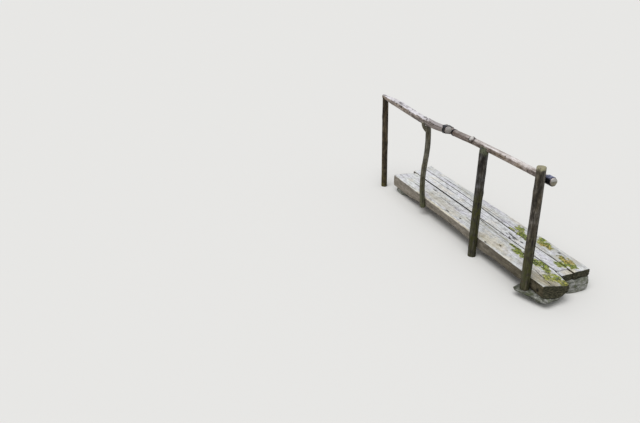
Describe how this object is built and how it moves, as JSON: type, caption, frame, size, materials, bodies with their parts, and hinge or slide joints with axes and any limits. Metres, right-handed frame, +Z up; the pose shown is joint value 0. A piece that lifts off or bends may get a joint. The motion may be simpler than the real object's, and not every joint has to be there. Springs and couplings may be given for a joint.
{
  "type": "wooden footbridge",
  "caption": "Rustic footbridge of split-log planks on bearing stones, with a pole handrail along one side.",
  "frame": {"origin": "centre of the bridge's bounding box, on the level ground it stands on", "axes": "+X along the deck from the near end to the far end, +Y towards the handrail side, +Z up"},
  "size_m": [3.354, 0.7847, 1.356],
  "materials": {
    "plank_wood": "weathered grey, bare",
    "post_wood": "dark, damp bark-free pole",
    "mossy_wood": "grey-green with algae",
    "rail_wood": "weathered pinkish grey",
    "strap_rubber": "glossy black",
    "bearing_stone": "rough grey fieldstone"
  },
  "bodies": {
    "root": {"left_plank": "plank_wood", "middle_plank": "plank_wood", "right_plank": "plank_wood", "near_post": "post_wood", "middle_post": "post_wood", "crooked_post": "mossy_wood", "far_post": "post_wood", "near_rail_pole": "rail_wood", "far_rail_pole": "rail_wood", "splice_strap": "strap_rubber", "near_post_strap": "strap_rubber", "near_left_slab": "bearing_stone", "near_left_stone": "bearing_stone", "near_right_stone": "bearing_stone", "far_left_stone": "bearing_stone", "far_right_stone": "bearing_stone"}
  },
  "joints": []
}
